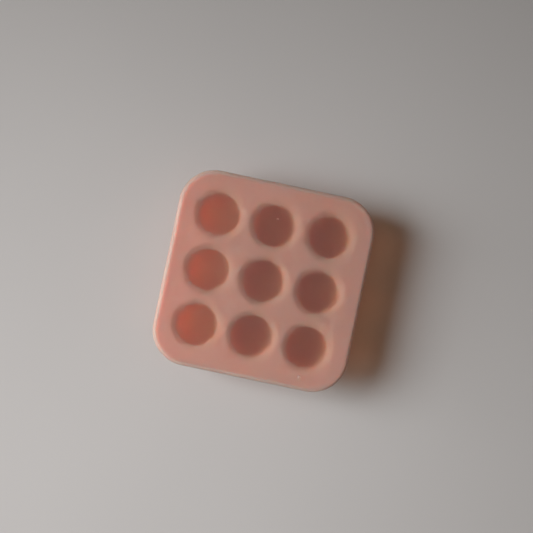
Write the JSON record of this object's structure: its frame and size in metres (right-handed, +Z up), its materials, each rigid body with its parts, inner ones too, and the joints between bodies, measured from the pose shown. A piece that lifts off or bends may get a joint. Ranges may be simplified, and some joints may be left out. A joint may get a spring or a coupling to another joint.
{
  "type": "baby food freezer tray",
  "caption": "Rounded-square silicone freezer tray with round portion cups hanging from a flat deck, under a flat translucent lid with a short skirt.",
  "frame": {"origin": "on the ground, under the centre of the middle cup", "axes": "+Z up out of the cups' mouths, through the lid; X and Y along the rows of cups, parallel to the tray's sides"},
  "size_m": [0.155, 0.155, 0.048],
  "materials": {
    "tray_silicone": "satin moulded silicone, slightly translucent",
    "lid_silicone": "fine matt silicone sheet, translucent"
  },
  "bodies": {
    "tray": {"tray": "tray_silicone"},
    "lid": {"lid": "lid_silicone"}
  },
  "joints": [
    {"name": "lid_lift", "type": "slide", "parent": "tray", "child": "lid", "axis": [0, 0, 1], "range_m": [0, 0.07]}
  ]
}
